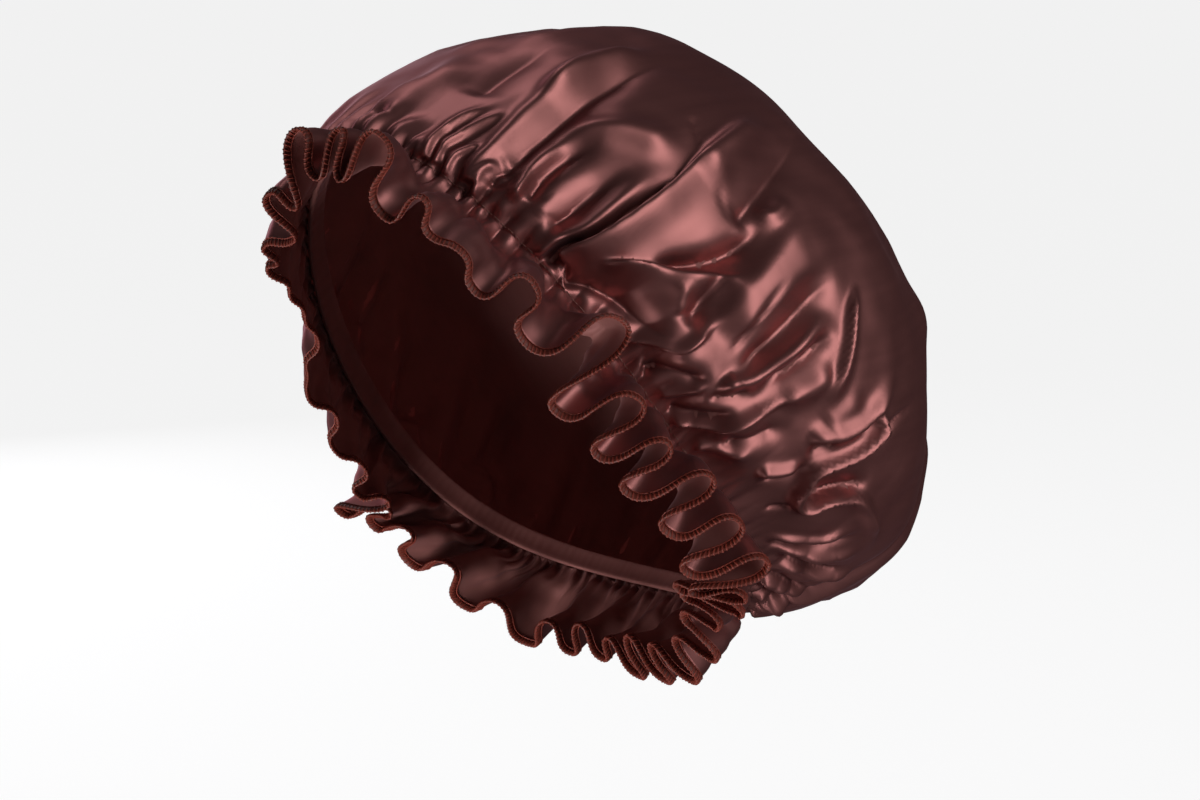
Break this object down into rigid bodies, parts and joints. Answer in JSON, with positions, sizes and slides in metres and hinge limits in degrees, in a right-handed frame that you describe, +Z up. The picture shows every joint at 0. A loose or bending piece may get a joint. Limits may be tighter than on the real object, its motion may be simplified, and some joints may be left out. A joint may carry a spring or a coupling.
{
  "type": "sleep bonnet",
  "caption": "Puffed satin sleep bonnet gathered on an elastic band, with a frilled and overlocked edge round the head opening.",
  "frame": {"origin": "middle of the head opening, on the ring where the elastic grips", "axes": "+Z up, the face side towards -Y and the wearer's left towards +X, as worn"},
  "size_m": [0.2119, 0.2327, 0.2173],
  "materials": {
    "crown": "satin, shiny",
    "ruffle": "satin, shiny",
    "elastic_casing": "dull",
    "overlock_edge": "dull thread"
  },
  "bodies": {
    "root": {"crown": "crown", "elastic_casing": "elastic_casing", "ruffle": "ruffle", "overlock_edge": "overlock_edge"}
  },
  "joints": []
}
